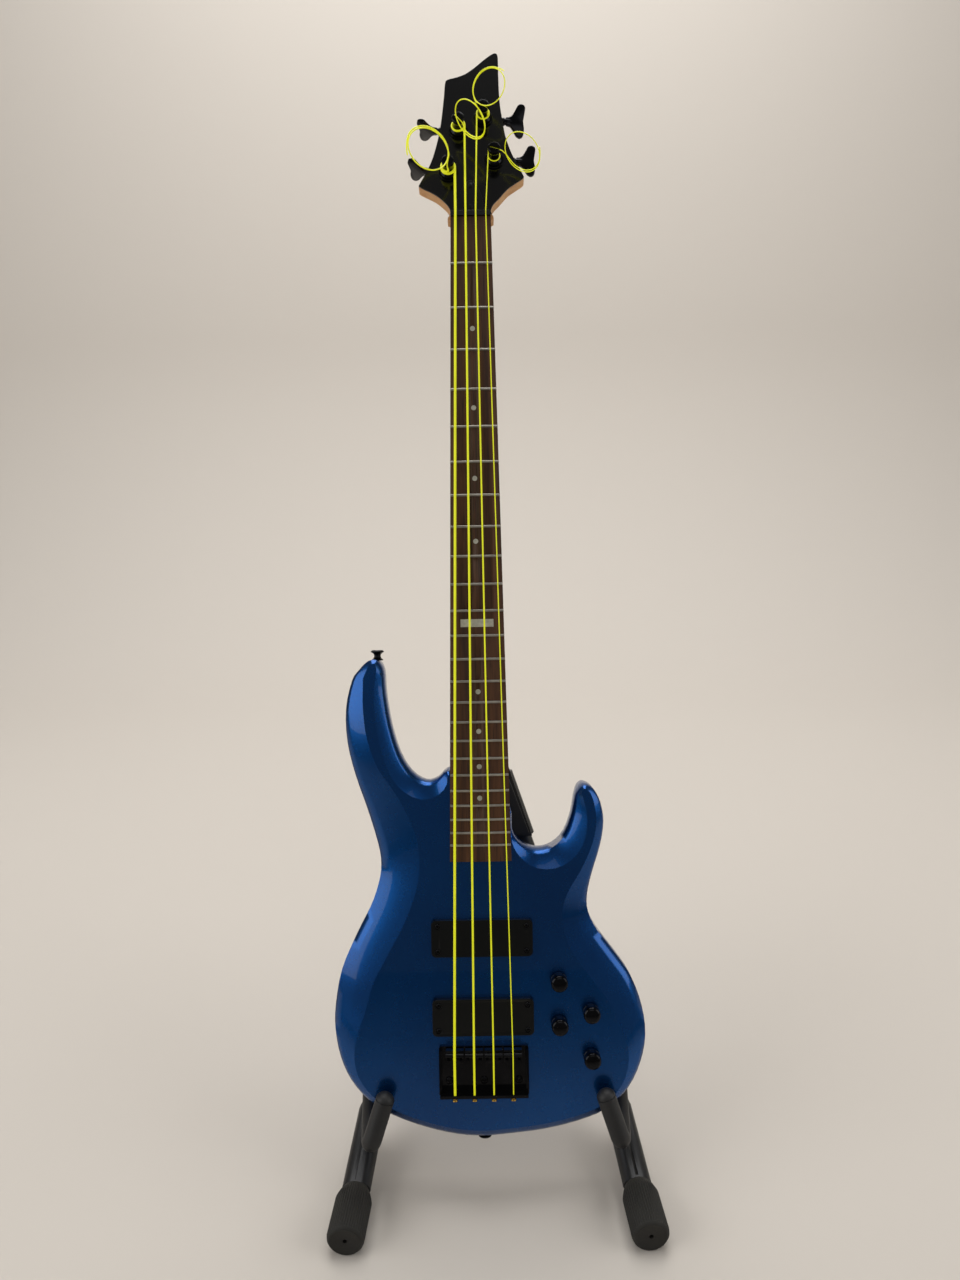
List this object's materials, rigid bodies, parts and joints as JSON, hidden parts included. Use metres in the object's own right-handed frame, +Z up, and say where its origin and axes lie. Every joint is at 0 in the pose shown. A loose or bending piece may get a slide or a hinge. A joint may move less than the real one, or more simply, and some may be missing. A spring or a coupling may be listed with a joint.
{
  "type": "bass guitar on stand",
  "caption": "Solid-body bass guitar leaning on a folding A-frame stand, with turning tuners and knobs, sliding saddles and swinging legs.",
  "frame": {"origin": "on the floor, in the middle of the stand's footprint between the front feet and the rear foot", "axes": "+Z up, -Y towards the side that the strings face, +X to the treble side"},
  "size_m": [0.3394, 0.4437, 1.1606],
  "materials": {
    "body_lacquer": "metallic blue gloss lacquer over wood",
    "neck_maple": "satin oiled maple",
    "black_gloss": "polished black",
    "rosewood": "oiled open-grained rosewood",
    "nickel": "polished nickel silver",
    "inlay": "pearl white",
    "steel": "plain steel",
    "black_metal": "black plated, satin gloss",
    "pickup_plastic": "moulded black",
    "string_coat": "neon yellow coated steel",
    "stand_black": "moulded and powder-coated black",
    "stand_rubber": "dark brown-black rubber",
    "foam": "closed-cell foam"
  },
  "bodies": {
    "stand": {"stand_head": "stand_black", "head_pad": "foam"},
    "guitar": {"body": "body_lacquer", "neck": "neck_maple", "headstock_veneer": "black_gloss", "fretboard": "rosewood", "frets": "nickel", "nut": "black_gloss", "fret_markers": "inlay", "truss_rod": "steel", "truss_rod_cover": "black_gloss", "neck_ferrules": "black_metal", "neck_screws": "black_metal", "pickup_neck": "pickup_plastic", "pickup_bridge": "pickup_plastic", "pickup_screws": "black_metal", "bridge_plate": "black_metal", "bridge_screws": "black_metal", "intonation_screws": "black_metal", "tuner_housings": "black_metal", "tuner_bushings": "black_metal", "strings": "string_coat", "potentiometers": "steel", "control_cover": "pickup_plastic", "cover_screws": "black_metal", "strap_buttons": "black_metal", "output_jack": "black_metal"},
    "left_leg": {"leg_left": "stand_black", "foot_left": "stand_rubber", "hook_foam_left": "foam"},
    "right_leg": {"leg_right": "stand_black", "foot_right": "stand_rubber", "hook_foam_right": "foam"},
    "rear_leg": {"rear_leg": "stand_black", "rear_foot": "stand_rubber"},
    "tuner_key_e": {"tuner_key_e": "black_metal"},
    "tuner_post_e": {"tuner_post_e": "black_metal", "string_wrap_e": "string_coat", "string_end_e": "string_coat"},
    "tuner_key_a": {"tuner_key_a": "black_metal"},
    "tuner_post_a": {"tuner_post_a": "black_metal", "string_wrap_a": "string_coat", "string_end_a": "string_coat"},
    "tuner_key_d": {"tuner_key_d": "black_metal"},
    "tuner_post_d": {"tuner_post_d": "black_metal", "string_wrap_d": "string_coat", "string_end_d": "string_coat"},
    "tuner_key_g": {"tuner_key_g": "black_metal"},
    "tuner_post_g": {"tuner_post_g": "black_metal", "string_wrap_g": "string_coat", "string_end_g": "string_coat"},
    "knob_1": {"knob_1": "black_metal"},
    "knob_2": {"knob_2": "black_metal"},
    "knob_3": {"knob_3": "black_metal"},
    "knob_4": {"knob_4": "black_metal"},
    "saddle_e": {"saddle_e": "black_metal"},
    "saddle_a": {"saddle_a": "black_metal"},
    "saddle_d": {"saddle_d": "black_metal"},
    "saddle_g": {"saddle_g": "black_metal"}
  },
  "joints": [
    {"name": "guitar_lift", "type": "slide", "parent": "stand", "child": "guitar", "axis": [0, 0.2874, 0.9578], "range_m": [0, 0.15]},
    {"name": "left_leg_swing", "type": "hinge", "parent": "stand", "child": "left_leg", "pos_m": [-0.138, -0.07049, 0.03997], "axis": [0.3198, 0.2351, 0.9179], "range_deg": [-90, 0]},
    {"name": "right_leg_swing", "type": "hinge", "parent": "stand", "child": "right_leg", "pos_m": [0.138, -0.07049, 0.03997], "axis": [-0.3198, 0.2351, 0.9179], "range_deg": [0, 90]},
    {"name": "rear_leg_fold", "type": "hinge", "parent": "stand", "child": "rear_leg", "pos_m": [0, 0.04879, 0.37836], "axis": [1, 0, 0], "range_deg": [-38, 0]},
    {"name": "key_e_turn", "type": "hinge", "parent": "guitar", "child": "tuner_key_e", "pos_m": [-0.03182, 0.17079, 1.03577], "axis": [-0.9848, 0.078, 0.1551], "range_deg": [-360, 360]},
    {"name": "post_e_turn", "type": "hinge", "parent": "guitar", "child": "tuner_post_e", "pos_m": [-0.0339, 0.14806, 1.03397], "axis": [0, -0.8934, 0.4493], "range_deg": [-18, 18]},
    {"name": "key_a_turn", "type": "hinge", "parent": "guitar", "child": "tuner_key_a", "pos_m": [-0.02154, 0.19294, 1.0798], "axis": [-0.9925, 0.0548, 0.1089], "range_deg": [-360, 360]},
    {"name": "post_a_turn", "type": "hinge", "parent": "guitar", "child": "tuner_post_a", "pos_m": [-0.023, 0.17017, 1.07792], "axis": [0, -0.8934, 0.4493], "range_deg": [-18, 18]},
    {"name": "key_d_turn", "type": "hinge", "parent": "guitar", "child": "tuner_key_d", "pos_m": [0.00321, 0.19918, 1.09221], "axis": [0.9998, -0.0078, -0.0156], "range_deg": [-360, 360]},
    {"name": "post_d_turn", "type": "hinge", "parent": "guitar", "child": "tuner_post_d", "pos_m": [0.003, 0.17637, 1.09025], "axis": [0, -0.8934, 0.4493], "range_deg": [-18, 18]},
    {"name": "key_g_turn", "type": "hinge", "parent": "guitar", "child": "tuner_key_g", "pos_m": [0.01359, 0.17708, 1.04825], "axis": [0.9998, 0.0078, 0.0156], "range_deg": [-360, 360]},
    {"name": "post_g_turn", "type": "hinge", "parent": "guitar", "child": "tuner_post_g", "pos_m": [0.0138, 0.15426, 1.0463], "axis": [0, -0.8934, 0.4493], "range_deg": [-18, 18]},
    {"name": "knob_1_turn", "type": "hinge", "parent": "guitar", "child": "knob_1", "pos_m": [0.0676, -0.0976, 0.22799], "axis": [0, -0.9578, 0.2874], "range_deg": [-135, 135]},
    {"name": "knob_2_turn", "type": "hinge", "parent": "guitar", "child": "knob_2", "pos_m": [0.1006, -0.10708, 0.19638], "axis": [0, -0.9578, 0.2874], "range_deg": [-135, 135]},
    {"name": "knob_3_turn", "type": "hinge", "parent": "guitar", "child": "knob_3", "pos_m": [0.0676, -0.11053, 0.18488], "axis": [0, -0.9578, 0.2874], "range_deg": [-135, 135]},
    {"name": "knob_4_turn", "type": "hinge", "parent": "guitar", "child": "knob_4", "pos_m": [0.1006, -0.12059, 0.15136], "axis": [0, -0.9578, 0.2874], "range_deg": [-135, 135]},
    {"name": "saddle_e_slide", "type": "slide", "parent": "guitar", "child": "saddle_e", "axis": [0, 0.2874, 0.9578], "range_m": [-0.003, 0.003]},
    {"name": "saddle_a_slide", "type": "slide", "parent": "guitar", "child": "saddle_a", "axis": [0, 0.2874, 0.9578], "range_m": [-0.003, 0.003]},
    {"name": "saddle_d_slide", "type": "slide", "parent": "guitar", "child": "saddle_d", "axis": [0, 0.2874, 0.9578], "range_m": [-0.003, 0.003]},
    {"name": "saddle_g_slide", "type": "slide", "parent": "guitar", "child": "saddle_g", "axis": [0, 0.2874, 0.9578], "range_m": [-0.003, 0.003]}
  ],
  "couplings": [
    {"joint": "post_e_turn", "follows": "key_e_turn", "ratio": 0.05},
    {"joint": "post_a_turn", "follows": "key_a_turn", "ratio": 0.05},
    {"joint": "post_d_turn", "follows": "key_d_turn", "ratio": 0.05},
    {"joint": "post_g_turn", "follows": "key_g_turn", "ratio": 0.05}
  ]
}
